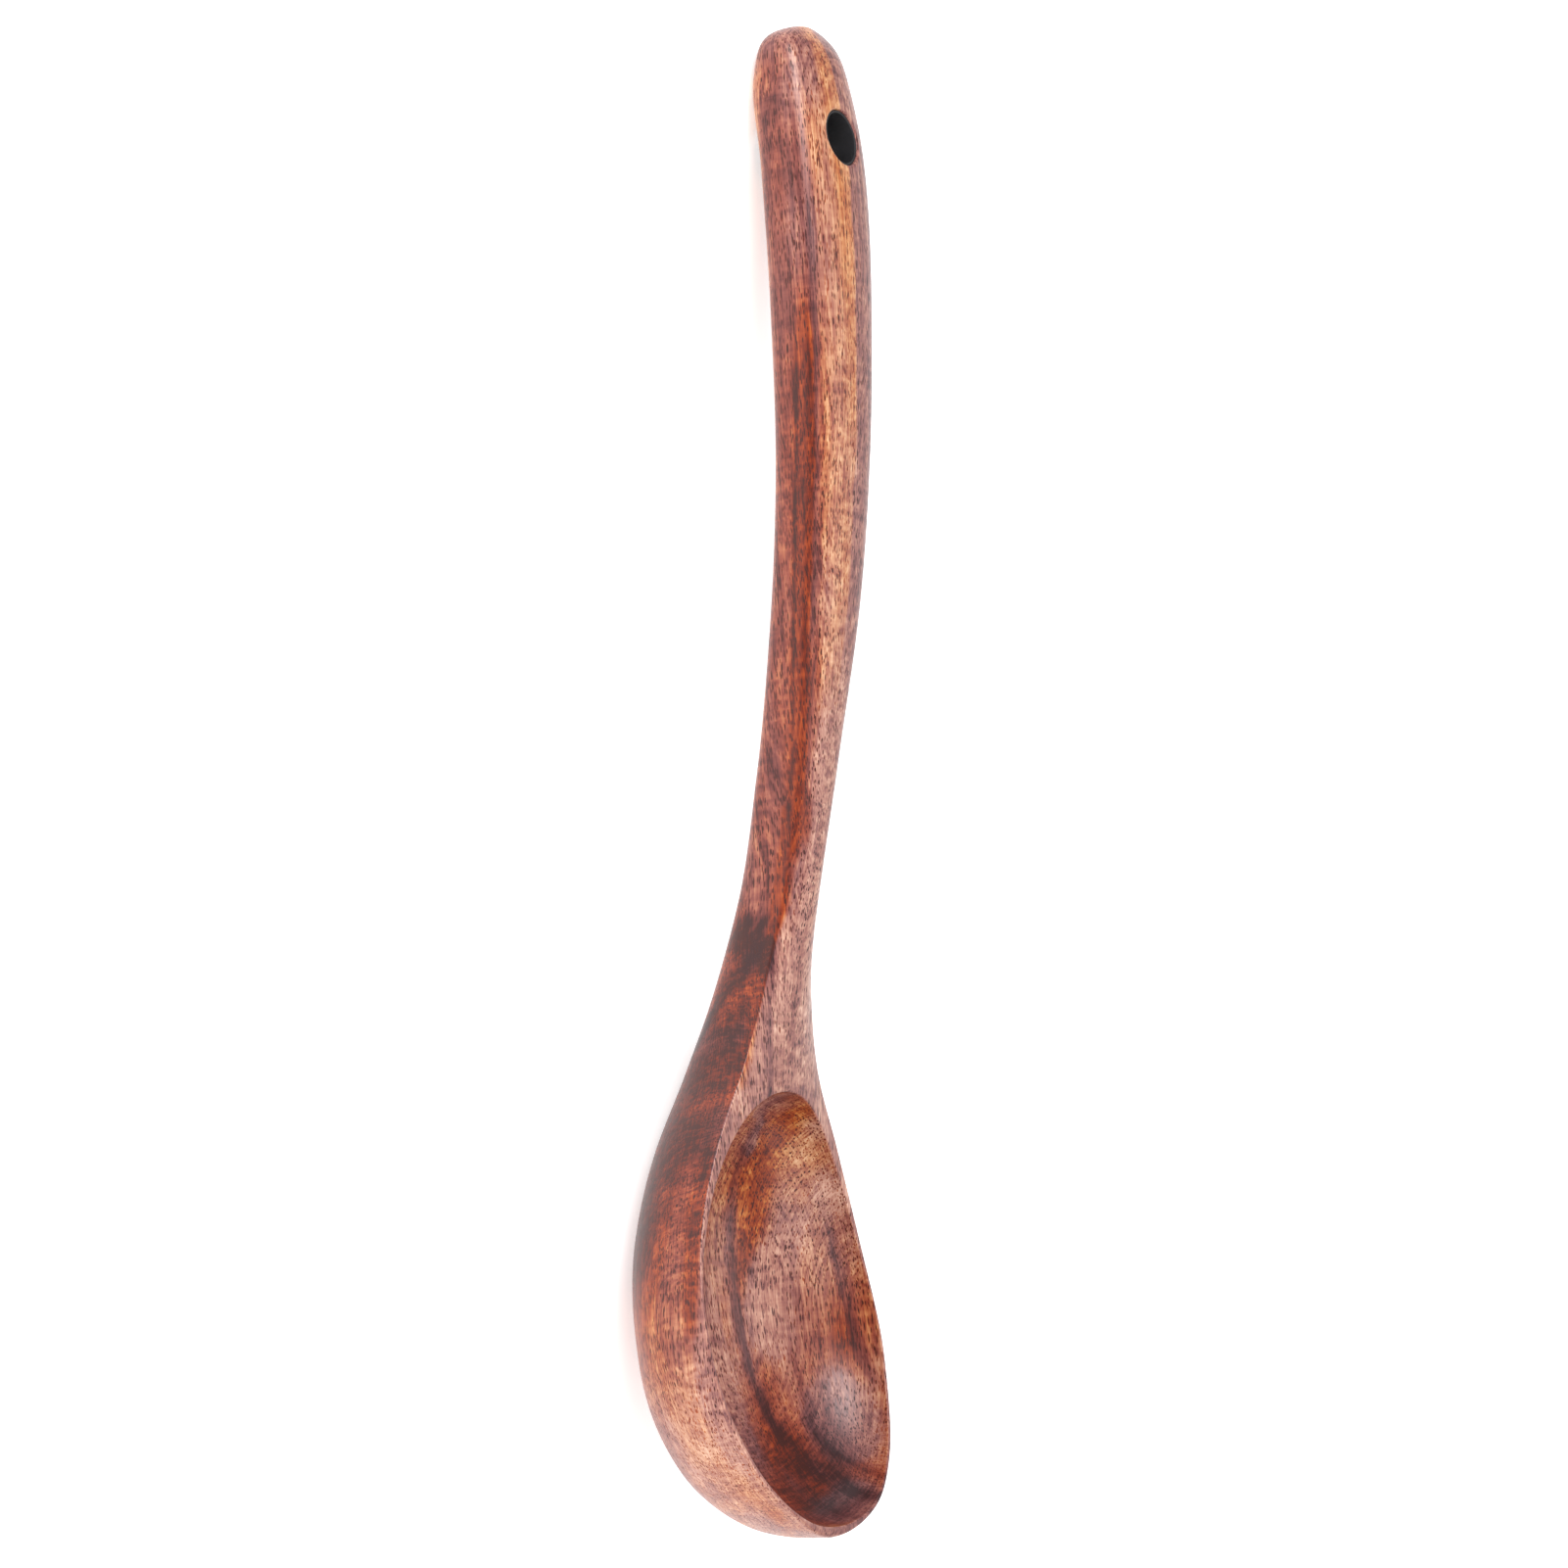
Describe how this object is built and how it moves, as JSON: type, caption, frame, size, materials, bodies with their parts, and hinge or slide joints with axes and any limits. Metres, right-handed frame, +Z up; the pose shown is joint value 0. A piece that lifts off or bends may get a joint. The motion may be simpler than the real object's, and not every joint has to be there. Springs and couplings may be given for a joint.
{
  "type": "wooden ladle spoon",
  "caption": "Carved wooden ladle spoon with a deep oval bowl, a slim neck, a thick rounded handle and a dark-lined hole to hang it by.",
  "frame": {"origin": "on the table, below the middle of the spoon's bounding box, with the spoon lying on the underside of its bowl and of its handle's end", "axes": "+X to the bowl's tip, +Y across the spoon, +Z up"},
  "size_m": [0.2596, 0.0572, 0.0384],
  "materials": {
    "wood": "satin oil, reddish-brown figured hardwood with dark growth bands and open pores",
    "black_lining": "matt black"
  },
  "bodies": {
    "root": {"spoon": "wood", "hanging_hole_liner": "black_lining"}
  },
  "joints": []
}
